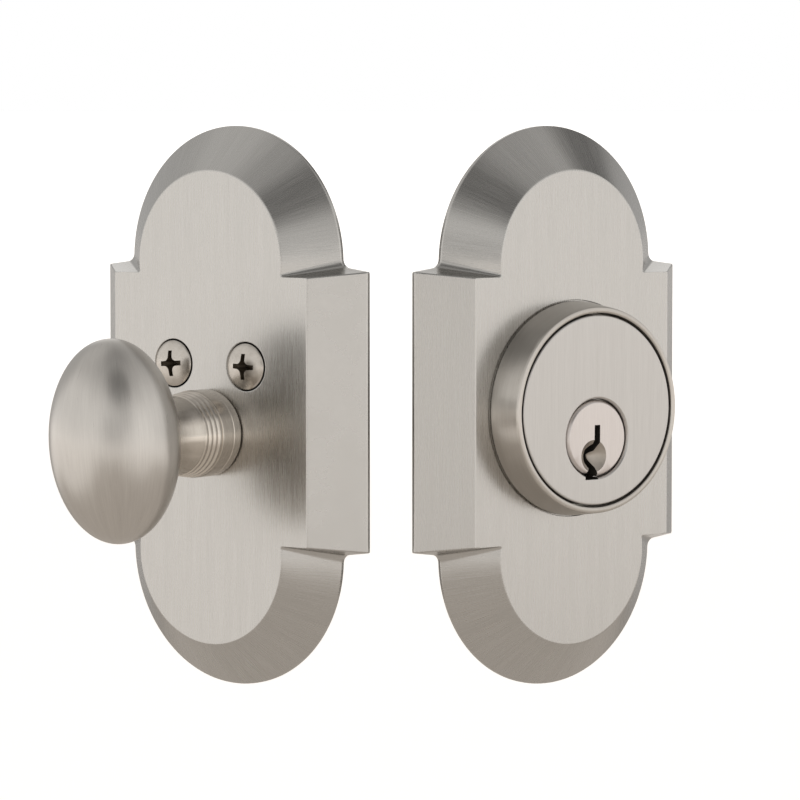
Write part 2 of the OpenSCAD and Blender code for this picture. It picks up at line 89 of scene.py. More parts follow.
PIN_COUNT, FIRST_PIN, PIN_PITCH, CHAMBER_R = 5, 5.9, 3.97, 1.5
PLUG_R = 6.45
NECK_R = 5.9

# ---- frames of the two halves: X right, Y up, Z out of the door ----


def joint(name):
    return next(j for j in frame["joints"] if j["name"] == name)


turn_axis = joint("thumbturn_turn")["axis"]
YAW = math.atan2(turn_axis[0], turn_axis[1])
UPRIGHT = Matrix.Rotation(math.pi / 2, 4, "X")
EXTERIOR = Matrix.Rotation(YAW, 4, "Z") @ UPRIGHT
INTERIOR_X = joint("thumbturn_turn")["pos_m"][0]
INTERIOR = Matrix.Translation((INTERIOR_X, 0, 0)) @ Matrix.Rotation(-YAW, 4, "Z") @ UPRIGHT

# ---- materials ----


class Nodes:
    """Short names for building a material's node tree."""

    def __init__(self, name):
        self.material = bpy.data.materials.new(name)
        self.material.use_nodes = True
        self.tree = self.material.node_tree
        self.shader = self.tree.nodes["Principled BSDF"]

    def add(self, kind, **settings):
        node = self.tree.nodes.new(kind)
        for key, value in settings.items():
            setattr(node, key, value)
        return node

    def link(self, a, b):
        self.tree.links.new(a, b)

    def stretch(self, vector, scale):
        node = self.add("ShaderNodeMapping")
        node.inputs["Scale"].default_value = scale
        self.link(vector, node.inputs["Vector"])
        return node.outputs["Vector"]

    def noise(self, vector, scale, detail, roughness=0.6):
        node = self.add("ShaderNodeTexNoise")
        node.inputs["Scale"].default_value = scale
        node.inputs["Detail"].default_value = detail
        node.inputs["Roughness"].default_value = roughness
        self.link(vector, node.inputs["Vector"])
        return node.outputs["Fac"]

    def spread(self, value, low, high, from_low=0.25, from_high=0.75):
        node = self.add("ShaderNodeMapRange")
        node.inputs["From Min"].default_value = from_low
        node.inputs["From Max"].default_value = from_high
        node.inputs["To Min"].default_value = low
        node.inputs["To Max"].default_value = high
        self.link(value, node.inputs["Value"])
        return node.outputs["Result"]

    def blend(self, factor, first, second):
        node = self.add("ShaderNodeMix", data_type="RGBA")
        node.inputs[6].default_value = (*first, 1)
        node.inputs[7].default_value = (*second, 1)
        self.link(factor, node.inputs[0])
        return node.outputs[2]

    def bump(self, height, distance, strength):
        node = self.add("ShaderNodeBump")
        node.inputs["Strength"].default_value = strength
        node.inputs["Distance"].default_value = distance
        self.link(height, node.inputs["Height"])
        return node.outputs["Normal"]


STREAK_SHARE, BROAD_SHARE = 0.65, 0.35  # of the fine and the broad streaks in a brushed surface
BROAD_SCALE = 0.13                     # frequency of the broad streaks against the fine ones
BUMP_DEPTH = 0.00004                   # metres
TURNED_SPREAD = 0.8                    # how far a turned part's highlights are drawn out


def brushed(name, light, dark, rough, grain, stretch, bump=0.12, metal=1.0, axis=None):
    """Brushed metal. grain is the name of a UV map in millimetres (across, along) or None for the
    object's own coordinates, and stretch gives the streaks' frequency along each of its axes.
    A turned part gives its axis, along which its highlights spread."""
    n = Nodes(name)
    if grain:
        vector = n.add("ShaderNodeUVMap", uv_map=grain).outputs["UV"]
    else:
        vector = n.add("ShaderNodeTexCoord").outputs["Object"]
    streaks = n.noise(n.stretch(vector, stretch), 1.0, 4.0)
    broad = n.noise(n.stretch(vector, tuple(s * BROAD_SCALE for s in stretch)), 1.0, 2.0)
    both = n.add("ShaderNodeMath", operation="MULTIPLY_ADD")
    both.inputs[1].default_value = STREAK_SHARE
    n.link(streaks, both.inputs[0])
    part = n.add("ShaderNodeMath", operation="MULTIPLY")
    part.inputs[1].default_value = BROAD_SHARE
    n.link(broad, part.inputs[0])
    n.link(part.outputs[0], both.inputs[2])
    mixed = both.outputs[0]
    n.link(n.blend(n.spread(mixed, 0, 1, 0.35, 0.65), dark, light), n.shader.inputs["Base Color"])
    n.link(n.spread(mixed, rough[0], rough[1]), n.shader.inputs["Roughness"])
    n.link(n.bump(streaks, BUMP_DEPTH, bump), n.shader.inputs["Normal"])
    n.shader.inputs["Metallic"].default_value = metal
    if axis is not None:
        along = n.add("ShaderNodeCombineXYZ")
        for socket, value in zip(along.inputs, axis):
            socket.default_value = value
        n.shader.inputs["Anisotropic"].default_value = TURNED_SPREAD
        n.link(along.outputs[0], n.shader.inputs["Tangent"])
    return n.material


NICKEL_LIGHT = (0.56, 0.547, 0.525)
NICKEL_DARK = (0.493, 0.481, 0.46)
FINE_GRAIN = (5.0, 0.18, 1.0)          # streaks per millimetre across and along a grain map
UPRIGHT_GRAIN = (5200, 5200, 160)      # streaks per metre along each axis of the scene
PLUG_GRAIN = (5200, 5200, 200)
GROUND_GRAIN = (3000, 300, 3000)


def even(scale):
    """The same frequency along every axis."""
    return (scale, scale, scale)


nickel = brushed("satin_nickel", NICKEL_LIGHT, NICKEL_DARK, (0.22, 0.32), "grain", FINE_GRAIN)
nickel_knob = brushed("satin_nickel_knob", (0.60, 0.575, 0.54), (0.53, 0.505, 0.475), (0.25, 0.36),
                      "grain", FINE_GRAIN)
exterior_turned = brushed("satin_nickel_collar", (0.58, 0.55, 0.51), (0.51, 0.48, 0.44), (0.26, 0.36),
                          "grain", FINE_GRAIN, axis=EXTERIOR.col[2].to_3d())
# painted light: the stem's copy of the turned nickel is lighter than the collar's, brightening the whole stem; its
# highlights drawn out along the axis come from its turned grain
interior_turned = brushed("satin_nickel_stem", (0.70, 0.65, 0.585), (0.62, 0.57, 0.51), (0.2, 0.28),
                          "grain", FINE_GRAIN, axis=INTERIOR.col[2].to_3d())
nickel_upright = brushed("satin_nickel_upright", (0.585, 0.567, 0.545), (0.525, 0.508, 0.487),
                         (0.28, 0.38), None, UPRIGHT_GRAIN, 0.08)
nickel_plug = brushed("satin_nickel_plug", (0.69, 0.645, 0.62), (0.62, 0.575, 0.55), (0.30, 0.38),
                      None, PLUG_GRAIN, 0.08)
nickel_screw = brushed("satin_nickel_screw", (0.58, 0.545, 0.50), (0.48, 0.445, 0.40), (0.2, 0.3),
                       None, even(900), 0.1)
steel = brushed("zinc_steel", (0.62, 0.62, 0.61), (0.50, 0.50, 0.50), (0.28, 0.42),
                None, even(700), 0.15)
hard_steel = brushed("ground_steel", (0.38, 0.38, 0.39), (0.28, 0.28, 0.29), (0.2, 0.3),
                     None, GROUND_GRAIN, 0.1)
brass = brushed("turned_brass", (0.80, 0.62, 0.32), (0.66, 0.48, 0.22), (0.2, 0.32),
                None, even(2600), 0.1)
keyway_dark = brushed("keyway_shadow", (0.05, 0.045, 0.035), (0.02, 0.018, 0.015), (0.5, 0.7),
                      None, even(900), 0.1, metal=0.0)
recess_dark = brushed("recess_shadow", (0.12, 0.095, 0.065), (0.06, 0.045, 0.03), (0.45, 0.6),
                      None, even(900), 0.1, metal=0.6)
# painted shade: the drilled dimple's colour is darker and browner than the plug's face, for the shade in its
# hollow
painted_dimple_shade = brushed("drilled_dimple_painted_shade", (0.46, 0.42, 0.375), (0.37, 0.335, 0.295), (0.34, 0.46),
                        None, even(900), 0.1)
nylon = brushed("moulded_nylon", (0.82, 0.80, 0.74), (0.74, 0.72, 0.66), (0.45, 0.6),
                None, even(300), 0.1, metal=0.0)

# ---- mesh helpers, in millimetres in a half's own frame ----


def finish_piece(bm, name, matrix, materials, body, replaces, sharp_deg=30.0):
    """Turns a bmesh in millimetres into a scene object that rides on a body."""
    bmesh.ops.recalc_face_normals(bm, faces=bm.faces)
    for edge in bm.edges:
        if len(edge.link_faces) == 2:
            edge.smooth = edge.calc_face_angle(0.0) < math.radians(sharp_deg)
    for face in bm.faces:
        face.smooth = True
    mesh = bpy.data.meshes.new(name)
    bmesh.ops.transform(bm, matrix=matrix @ Matrix.Scale(MM, 4), verts=bm.verts)
    bm.to_mesh(mesh)
    bm.free()
    for material in materials:
        mesh.materials.append(material)
    piece = bpy.data.objects.new(name, mesh)
    bpy.context.scene.collection.objects.link(piece)
    weighted = piece.modifiers.new("weighted", "WEIGHTED_NORMAL")
    weighted.keep_sharp = True
    weighted.weight = 80
    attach(piece, body)
    if replaces:
        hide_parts(replaces)
    return piece


def ring_of(bm, points, z):
    return [bm.verts.new((x, y, z)) for x, y in points]


def bridge(bm, low, high):
    """Quads between two rings of equal length; returns the faces, one per ring edge."""
    after_low, after_high = low[1:] + low[:1], high[1:] + high[:1]
    return [bm.faces.new(corners) for corners in zip(low, after_low, after_high, high)]


def loop_edges(bm, ring):
    return [bm.edges.get((ring[i], ring[(i + 1) % len(ring)])) for i in range(len(ring))]


def fill(bm, rings):
    """Fills the flat region between an outer ring and the holes inside it."""
    edges = [e for ring in rings for e in loop_edges(bm, ring)]
    made = bmesh.ops.triangle_fill(bm, use_beauty=True, edges=edges)["geom"]
    return [g for g in made if isinstance(g, bmesh.types.BMFace)]


def arc(cx, cy, r, start, end, count):
    """Points along an arc, both ends included, with angles in radians."""
    angles = [start + (end - start) * i / count for i in range(count + 1)]
    return [(cx + r * math.cos(angle), cy + r * math.sin(angle)) for angle in angles]


def circle(cx, cy, r, count=96):
    return arc(cx, cy, r, 0, 2 * math.pi, count)[:-1]


def plate_outline(half_w, shoulder, tilt, arch_r, arch_z, fillet, corner):
    """One arch-ended outline: straight sides, shoulders that rise by tilt towards the arches, and a
    small fillet between each shoulder and its arch.
    Returns the points and, for each, the stretch it starts: side, shoulder or arch."""
    side = Vector((half_w, shoulder))
    up = Vector((math.sin(tilt), math.cos(tilt)))
    meet = math.asin((side.dot(up) + fillet - arch_z * up.y) / (arch_r + fillet)) - tilt
    hollow = Vector((0, arch_z)) + (arch_r + fillet) * Vector((math.cos(meet), math.sin(meet)))
    low = shoulder - corner * (1 - up.x) / up.y
    start = Vector((half_w - corner, low)) + corner * up
    end = hollow - fillet * up
    quarter = [((half_w, low * i / 6), "side") for i in range(6)]
    quarter += [(p, "side") for p in arc(half_w - corner, low, corner, 0, math.pi / 2 - tilt, 4)]
    quarter += [(tuple(start.lerp(end, i / 4)), "shoulder") for i in range(1, 4)]
    quarter += [(p, "arch") for p in arc(*hollow, fillet, -math.pi / 2 - tilt, meet - math.pi, 10)]
    quarter += [(p, "arch") for p in arc(0, arch_z, arch_r, meet, math.pi / 2, 40)[1:]]
    left = [((-x, y), kind) for (x, y), kind in reversed(quarter[:-1])]
    upper = quarter + left
    lower = [((-x, -y), kind) for (x, y), kind in upper[1:-1]]
    path = upper + lower
    return [p for p, _ in path], [kind for _, kind in path]


def lerp(a, b, t):
    return {key: a[key] + (b[key] - a[key]) * t for key in a}


def set_grain(bm, face, layer, mapping):
    """Writes the grain map of one face; mapping turns a position into (across, along)."""
    for loop in face.loops:
        loop[layer].uv = mapping(loop.vert.co)


def along_y(co):
    return co.x + co.z, co.y


ARCH_MEAN_R = 19.0                     # of the bevel round an arch


def arch_mapping(sign):
    """The grain map of the upper (1) or lower (-1) arch's bevel, with streaks that run across it."""
    centre = sign * BACK["arch_z"]

    def mapping(co):
        angle = math.atan2(co.x, sign * (co.y - centre))
        return angle * ARCH_MEAN_R, math.hypot(co.x, co.y - centre)

    return mapping


def along_x(co):
    return co.y + co.z, co.x


def plate(name, matrix, holes, node):
    """A bevelled plate with soft edges, its pocket behind, and its holes.
    Each hole is a list of (centre x, centre y, radius, z) rings from the front to the pocket's floor."""
    bm = bmesh.new()
    layer = bm.loops.layers.uv.new("grain")
    slope = PLATE_T - EDGE_T
    section = [(0.0, 0.0), (EDGE_T - 0.12, 0.0), (EDGE_T + 0.02, 0.004), (EDGE_T + 0.16, 0.02)]
    section += [(EDGE_T + slope * t, t) for t in (0.2, 0.4, 0.6, 0.8, 0.965)]
    section += [(PLATE_T - 0.08, 0.988), (PLATE_T - 0.015, 1.006), (PLATE_T, 1.028)]
    rings = []
    for z, t in section:
        points, kinds = plate_outline(**lerp(BACK, FRONT, t))
        rings.append(ring_of(bm, points, z))
    for low, high in zip(rings, rings[1:]):
        for i, face in enumerate(bridge(bm, low, high)):
            if kinds[i] == "side":
                set_grain(bm, face, layer, along_y)
            elif kinds[i] == "shoulder":
                set_grain(bm, face, layer, along_x)
            else:
                set_grain(bm, face, layer, arch_mapping(1 if face.calc_center_median().y > 0 else -1))
    tops, bottoms = [], []
    for hole in holes:
        hole_rings = [ring_of(bm, circle(x, y, r), z) for x, y, r, z in hole]
        for low, high in zip(hole_rings, hole_rings[1:]):
            for face in bridge(bm, low, high):
                set_grain(bm, face, layer, along_y)
        tops.append(hole_rings[0])
        bottoms.append(hole_rings[-1])
    pocket_points, _ = plate_outline(**POCKET)
    pocket_low = ring_of(bm, pocket_points, 0)
    pocket_high = ring_of(bm, pocket_points, POCKET_D)
    flats = bridge(bm, pocket_low, pocket_high)
    flats += fill(bm, [rings[-1], *tops])
    flats += fill(bm, [rings[0], pocket_low])
    flats += fill(bm, [pocket_high, *bottoms])
    for face in flats:
        set_grain(bm, face, layer, along_y)
    return finish_piece(bm, name, matrix, [nickel], "lock", node)


def lathe(name, profile, matrix, material, body, node, centre=(0, 0), count=192, closed=False):
    """Turns a profile of (radius, z) points about the axis through centre."""
    bm = bmesh.new()
    layer = bm.loops.layers.uv.new("grain")
    rings, lengths, length = [], [], 0.0
    for i, (r, z) in enumerate(profile):
        if i:
            length += math.hypot(r - profile[i - 1][0], z - profile[i - 1][1])
        lengths.append(length)
        if r == 0:
            rings.append([bm.verts.new((*centre, z))])
        else:
            rings.append(ring_of(bm, circle(*centre, r, count), z))
    pairs = list(zip(range(len(rings)), range(1, len(rings))))
    if closed:
        pairs.append((len(rings) - 1, 0))
    for a, b in pairs:
        low, high = rings[a], rings[b]
        for i in range(count):
            k = (i + 1) % count
            corners = [(low, i, a), (low, k, a), (high, k, b), (high, i, b)]
            corners = [c for j, c in enumerate(corners) if len(c[0]) > 1 or j in (0, 2)]
            face = bm.faces.new([ring[index % len(ring)] for ring, index, _ in corners])
            for loop, (ring, index, row) in zip(face.loops, corners):
                turn = 2 * math.pi * (i + 1 if index == k else i) / count
                radius = max(profile[row][0], 1.0)
                loop[layer].uv = (lengths[row], turn * radius)
    return finish_piece(bm, name, matrix, [material], body, node)


def lathe_bm(profile, centre=(0, 0), count=96):
    """A closed solid of revolution from a profile that starts and ends on the axis."""
    bm = bmesh.new()
    rings = []
    for r, z in profile:
        points = [centre] if r == 0 else circle(*centre, r, count)
        rings.append(ring_of(bm, points, z))
    for low, high in zip(rings, rings[1:]):
        for i in range(count):
            k = (i + 1) % count
            corners = [low[i % len(low)], low[k % len(low)], high[k % len(high)], high[i % len(high)]]
            bm.faces.new(list(dict.fromkeys(corners)))
    return bm


def loft_bm(sections):
    """A closed solid from outlines of equal length; each section is (points, z)."""
    bm = bmesh.new()
    rings = [ring_of(bm, points, z) for points, z in sections]
    bm.faces.new(rings[0])
    bm.faces.new(rings[-1])
    for low, high in zip(rings, rings[1:]):
        bridge(bm, low, high)
    return bm


def cut(bm, cutters):
    """The solid bm with each cutter taken away; cutter faces keep their own material number."""

    stand_ins = [bpy.data.materials.new("temp") for _ in range(3)]

    def temp(part, number):
        bmesh.ops.recalc_face_normals(part, faces=part.faces)
        mesh = bpy.data.meshes.new("temp")
        for face in part.faces:
            face.material_index = number
        part.to_mesh(mesh)
        part.free()
        for stand_in in stand_ins:
            mesh.materials.append(stand_in)
        item = bpy.data.objects.new("temp", mesh)
        bpy.context.scene.collection.objects.link(item)
        return item

    body = temp(bm, 0)
    tools = [temp(part, number) for part, number in cutters]
    for tool in tools:
        step = body.modifiers.new("cut", "BOOLEAN")
        step.operation = "DIFFERENCE"
        step.solver = "EXACT"
        step.object = tool
    bpy.context.view_layer.update()
    result = bmesh.new()
    shaped = body.evaluated_get(bpy.context.evaluated_depsgraph_get())
    result.from_mesh(shaped.to_mesh())
    shaped.to_mesh_clear()
    for item in [body, *tools]:
        mesh = item.data
        bpy.data.objects.remove(item)
        bpy.data.meshes.remove(mesh)
    for stand_in in stand_ins:
        bpy.data.materials.remove(stand_in)
    return result


def cross_outline(size):
    """A cross recess: four narrow arms whose inner corners are rounded away."""
    reach, half, inner = 2.15 * size, 0.4 * size, 1.25 * size
    points = []
    for quarter in range(4):
        turn = Matrix.Rotation(quarter * math.pi / 2, 2)
        corner = arc(inner, inner, inner - half, -math.pi / 2, -math.pi, 6)
        points += [tuple(turn @ Vector(p)) for p in [(reach, -half), (reach, half), *corner[:-1]]]
    return points


# ---- exterior half ----

SEAT_D = 0.3                           # depth of the groove round the collar's foot
collar_seat = [(0, 0, COLLAR_BASE_R + 0.22, PLATE_T), (0, 0, COLLAR_BASE_R + 0.12, PLATE_T - SEAT_D),
               (0, 0, COLLAR_BASE_R - 0.5, PLATE_T - SEAT_D), (0, 0, COLLAR_BASE_R - 0.6, PLATE_T),
               (0, 0, HOUSING_R + 1.25, PLATE_T), (0, 0, HOUSING_R + 1.25, POCKET_D)]
plate("exterior_plate_look", EXTERIOR, [collar_seat], "exterior_plate")

# the collar's section, from its spigot in the plate up its side and back down inside its lip
collar_profile = [
    (HOUSING_R + 0.05, POCKET_D), (HOUSING_R + 1.2, POCKET_D), (HOUSING_R + 1.2, PLATE_T),
    (COLLAR_BASE_R - 0.6, PLATE_T), (COLLAR_BASE_R - 0.52, PLATE_T + 0.2),
    (COLLAR_BASE_R - 0.1, PLATE_T + 0.36), (COLLAR_BASE_R - 0.02, PLATE_T + 0.6),
    (COLLAR_FRONT_R + 0.05, COLLAR_TOP - 0.5),
    (COLLAR_FRONT_R, COLLAR_TOP - 0.28), (COLLAR_FRONT_R - 0.1, COLLAR_TOP - 0.1),
    (COLLAR_FRONT_R - 0.28, COLLAR_TOP), (FACE_R + 0.66, COLLAR_TOP), (FACE_R + 0.5, COLLAR_TOP - 0.04),
    (FACE_R + 0.39, COLLAR_TOP - 0.14), (FACE_R + 0.35, COLLAR_TOP - 0.32),
    (FACE_R + 0.35, FLANGE_Z), (HOUSING_R + 0.05, FLANGE_Z),
]
lathe("cylinder_collar_look", collar_profile, EXTERIOR, exterior_turned, "lock", "cylinder_collar",
      closed=True)


def box_bm(low, high):
    """A rectangular cutter between two corners."""
    outline = [(low[0], low[1]), (high[0], low[1]), (high[0], high[1]), (low[0], high[1])]
    return loft_bm([(outline, low[2]), (outline, high[2])])


def pin_bores(length):
    """Cutters for the pin chambers, which run up from the plug's centre."""
    bores = []
    for i in range(PIN_COUNT):
        bore = lathe_bm([(0, -1.2), (CHAMBER_R, -1.2), (CHAMBER_R, length), (0, length)], count=32)
        at = Matrix.Translation((0, -SPINDLE_DROP, FACE_Z - FIRST_PIN - i * PIN_PITCH))
        bmesh.ops.transform(bore, matrix=at @ Matrix.Rotation(-math.pi / 2, 4, "X"), verts=bore.verts)
        bores.append(bore)
    return bores


def cylinder_housing():
    """The housing: a soft-edged face, a chamfered plug bore, pin chambers and screw post sockets."""
    groove = POCKET_D - 1.25
    solid = lathe_bm([
        (0, -HOUSING_BACK), (HOUSING_R, -HOUSING_BACK), (HOUSING_R, groove), (HOUSING_R - 0.8, groove),
        (HOUSING_R - 0.8, POCKET_D + 0.05), (HOUSING_R, POCKET_D + 0.05), (HOUSING_R, FLANGE_Z),
        (FACE_R, FLANGE_Z),
        (FACE_R, FACE_Z - 0.4), (FACE_R - 0.06, FACE_Z - 0.16), (FACE_R - 0.2, FACE_Z - 0.04),
        (FACE_R - 0.42, FACE_Z), (0, FACE_Z),
    ], count=192)
    bore = lathe_bm([
        (0, -HOUSING_BACK - 1), (PLUG_R + 0.08, -HOUSING_BACK - 1), (PLUG_R + 0.08, FACE_Z - 1.5),
        (PLUG_R + 0.2, FACE_Z - 1.5), (PLUG_R + 0.24, FACE_Z - 0.4), (PLUG_R + 0.4, FACE_Z - 0.12),
        (PLUG_R + 0.55, FACE_Z - 0.02), (PLUG_R + 0.7, FACE_Z + 0.02), (0, FACE_Z + 0.02),
    ], centre=(0, -SPINDLE_DROP), count=160)
    notch_y = -SPINDLE_DROP - PLUG_R
    cutters = [bore, box_bm((-2.2, 13.6, FACE_Z - 24.28), (2.2, 20, FACE_Z - 3.4))]
    low, high = -HOUSING_BACK - 1, -HOUSING_BACK + 6
    post_y = SCREW_UP + THUMB_DROP - SPINDLE_DROP
    for side in (-1, 1):
        socket = [(0, low), (POST_R, low), (POST_R, high), (0, high)]
        cutters.append(lathe_bm(socket, centre=(side * SCREW_X, post_y), count=48))
    notch = box_bm((-2.6, notch_y - 0.52, FACE_Z - 3.0), (0.3, notch_y + 0.8, FACE_Z + 1))
    bm = cut(solid, [*((cutter, 0) for cutter in cutters + pin_bores(13.6 + SPINDLE_DROP)), (notch, 1)])
    finish_piece(bm, "cylinder_housing_look", EXTERIOR, [nickel_upright, keyway_dark], "lock",
                 "cylinder_housing")


cylinder_housing()


def keyway_outline():
    """The keyway as drawn in the CAD model, from its top to where it opens below the plug."""
    return [
        (-0.55, 2.25), (0.65, 2.25), (0.65, -0.8), (0.0, -2.2), (-1.5, -2.7), (-1.4, -3.3), (-0.2, -4.9),
        (0.3, -7.0), (-2.7, -7.0), (-2.1, -5.5), (-1.6, -5.1), (-2.5, -3.9), (-2.7, -3.0), (-2.3, -1.9),
        (-0.6, -0.9),
    ]


DIMPLE_AT = (-0.75, -3.0)              # from the plug's centre


def cylinder_plug():
    """The plug: a turned cylinder with its keyway, a drilled dimple at the keyway and its pin bores."""
    nose_z, back_z = -HOUSING_BACK - 3, -HOUSING_BACK
    solid = lathe_bm([
        (0, nose_z), (5, nose_z), (5, back_z), (PLUG_R, back_z), (PLUG_R, PLUG_TOP - 0.6),
        (PLUG_R - 0.04, PLUG_TOP - 0.46), (PLUG_R - 0.42, PLUG_TOP - 0.04), (PLUG_R - 0.54, PLUG_TOP),
        (0, PLUG_TOP),
    ], count=128)
    slot = loft_bm([(keyway_outline(), back_z + 4), (keyway_outline(), PLUG_TOP + 1)])
    dimple = lathe_bm([(0, PLUG_TOP - 1.5), (0.5, PLUG_TOP - 1.4), (2.65, PLUG_TOP - 0.08),
                       (2.85, PLUG_TOP + 0.1), (0, PLUG_TOP + 0.1)], centre=DIMPLE_AT, count=64)
    for part in (solid, slot, dimple):
        bmesh.ops.transform(part, matrix=Matrix.Translation((0, -SPINDLE_DROP, 0)), verts=part.verts)
    # painted shade: the dimple's faces take the darker dimple colour
    bm = cut(solid, [(dimple, 2), (slot, 1), *((bore, 1) for bore in pin_bores(8))])
    finish_piece(bm, "cylinder_plug_look", EXTERIOR, [nickel_plug, keyway_dark, painted_dimple_shade], "plug",
                 "cylinder_plug")


cylinder_plug()

# ---- interior half ----


def screw_hole(x):
    """A countersunk hole in the interior plate, as rings from its front to the pocket."""
    r = SCREW_HEAD_R + 0.15
    return [(x, SCREW_UP, r + 0.22, PLATE_T), (x, SCREW_UP, r + 0.06, PLATE_T - 0.05),
            (x, SCREW_UP, r - 0.05, PLATE_T - 0.2),
            (x, SCREW_UP, 2.3, PLATE_T - 2.1), (x, SCREW_UP, 2.3, POCKET_D)]


spindle_hole = [(0, -THUMB_DROP, SHAFT_R + 1.05, PLATE_T), (0, -THUMB_DROP, SHAFT_R + 1.05, POCKET_D)]
plate("interior_plate_look", INTERIOR, [spindle_hole, screw_hole(-SCREW_X), screw_hole(SCREW_X)],
      "interior_plate")


def egg_knob():
    """The egg: an ellipsoid whose long axis stands upright, with its grain along the meridians."""
    bm = bmesh.new()
    layer = bm.loops.layers.uv.new("grain")
    rx, ry, rz = EGG
    rows, count = 72, 144
    rings = []
    for i in range(rows + 1):
        lat = math.pi * (i / rows - 0.5)
        if i in (0, rows):
            rings.append([bm.verts.new((0, ry * math.sin(lat), EGG_Z))])
            continue
        y, width, depth = ry * math.sin(lat), rx * math.cos(lat), rz * math.cos(lat)
        angles = [2 * math.pi * j / count for j in range(count)]
        rings.append([bm.verts.new((width * math.sin(a), y, EGG_Z + depth * math.cos(a)))
                      for a in angles])
    for i in range(rows):
        low, high = rings[i], rings[i + 1]
        for j in range(count):
            k = (j + 1) % count
            if len(low) == 1:
                face = bm.faces.new((low[0], high[j], high[k]))
            elif len(high) == 1:
                face = bm.faces.new((low[j], high[0], low[k]))
            else:
                face = bm.faces.new((low[j], high[j], high[k], low[k]))
            for loop in face.loops:
                at = loop.vert.co
                lat = math.asin(max(-1.0, min(1.0, at.y / ry)))
                last = j == count - 1 and abs(at.x) < 1e-6
                angle = 2 * math.pi if last else math.atan2(at.x, at.z - EGG_Z) % (2 * math.pi)
                loop[layer].uv = (angle * 10.0, lat * ry)
    on_spindle = Matrix.Translation((0, -THUMB_DROP, 0)) @ Matrix.Rotation(LEAN, 4, "Z")
    bmesh.ops.transform(bm, matrix=on_spindle, verts=bm.verts)
    return finish_piece(bm, "thumbturn_knob_look", INTERIOR, [nickel_knob], "thumbturn",
                        "thumbturn_knob")


egg_knob()


def stem_outline():
    """The stem from the tenon to the egg: flange, four fine rings and a waisted neck."""
    rings_z = STEM_Z + 4.9
    pitch = 1.0
    neck_z = rings_z + 4 * pitch
    seat_z = EGG_Z - EGG[2] * 0.86 + 1.2
    outline = [
        (0, -2.6), (2.9, -2.6), (2.9, 2.0), (4.2, 2.0), (4.2, 2.95), (SHAFT_R, 2.95), (SHAFT_R, STEM_Z),
        (FLANGE_R - 0.45, STEM_Z), (FLANGE_R - 0.2, STEM_Z + 0.12), (FLANGE_R - 0.05, STEM_Z + 0.4),
        (FLANGE_R, STEM_Z + 0.8), (FLANGE_R, STEM_Z + 2.0), (FLANGE_R - 0.06, STEM_Z + 2.1),
        (FLANGE_R, STEM_Z + 2.2), (FLANGE_R, rings_z - 0.3), (FLANGE_R - 0.12, rings_z),
    ]
    for i in range(4):
        low, r = rings_z + pitch * i, FLANGE_R - 0.1 - 0.15 * i
        outline += [(r - 0.16, low + 0.06), (r - 0.03, low + 0.2), (r, low + 0.42),
                    (r - 0.03, low + 0.7), (r - 0.2, low + 0.86)]
    for i in range(21):
        s = i / 20
        waist = 0.4 * math.sin(math.pi * s)
        outline.append((6.6 + (NECK_R - 6.6) * s - waist, neck_z + 0.1 + (seat_z - neck_z - 0.1) * s))
    return outline + [(0, seat_z)]


lathe("thumbturn_stem_look", stem_outline(), INTERIOR, interior_turned, "thumbturn", "thumbturn_stem",
      centre=(0, -THUMB_DROP))


def mounting_screw(name, x, turn):
    """An oval-head machine screw with a cross recess, turned as it was left after driving."""
    head = [(0, -SCREW_REACH), (1.7, -SCREW_REACH), (2, -SCREW_REACH + 0.4), (2, PLATE_T - 2.1),
            (SCREW_HEAD_R - 0.2, PLATE_T - 0.2), (SCREW_HEAD_R - 0.1, PLATE_T - 0.06),
            (SCREW_HEAD_R - 0.1, PLATE_T + 0.04), (SCREW_HEAD_R - 0.2, PLATE_T + 0.14)]
    dome_r, crown = 8.5, PLATE_T + 1.05
    for i in range(13):
        r = (SCREW_HEAD_R - 0.45) * (1 - i / 12)
        head.append((r, crown - dome_r + math.sqrt(dome_r ** 2 - r ** 2)))
    solid = lathe_bm(head)
    recess = loft_bm([(cross_outline(0.35), PLATE_T - 1.4), (cross_outline(0.9), PLATE_T + 0.1),
                      (cross_outline(1.0), PLATE_T + 0.5), (cross_outline(1.12), PLATE_T + 2)])
    bm = cut(solid, [(recess, 1)])
    place = Matrix.Translation((x, SCREW_UP, 0)) @ Matrix.Rotation(math.radians(turn), 4, "Z")
    bmesh.ops.transform(bm, matrix=place, verts=bm.verts)
    return finish_piece(bm, name, INTERIOR, [nickel_screw, recess_dark], "lock", "mounting_screws")


mounting_screw("mounting_screw_left_look", -SCREW_X, 4)
mounting_screw("mounting_screw_right_look", SCREW_X, -2)

# ---- CAD nodes that keep their own shape ----

finishes = {
    "nickel_face": nickel_upright, "nickel_plug": nickel_plug, "satin_nickel": nickel_upright,
    "nickel_screws": nickel_screw, "zinc_steel": steel, "hard_steel": hard_steel, "brass": brass,
    "nylon": nylon,
}
slot_of = {s["node"]: s["material_slot"] for s in frame["record"]["subparts"]}
for node, obj in frame["nodes"].items():
    obj.data.materials.clear()
    obj.data.materials.append(finishes[slot_of[node]])

# ---- stage, light and camera ----

FLOOR_SIZE = 60.0
FLOOR_GAP = 0.16                       # metres between the lock, held by its mount, and the floor
FLOOR_COLOUR = (0.89, 0.82, 0.75)
FLOOR_SEEN = 0.4                       # least glow of the floor that the camera sees directly
FLOOR_CENTRE = (0, -0.15)
FLOOR_FADE = (0.75, 1.02)              # metres from its centre: grey inside, where it barely glows, white outside, where it glows as painted light
FLOOR_GLOW = (0.04, 0.56, 0.3)         # painted light, the floor's glow though it is no lamp: inside, outside, and added again far away
FLOOR_FAR = (2.2, 4.5)                 # metres from its centre where the far glow starts and ends
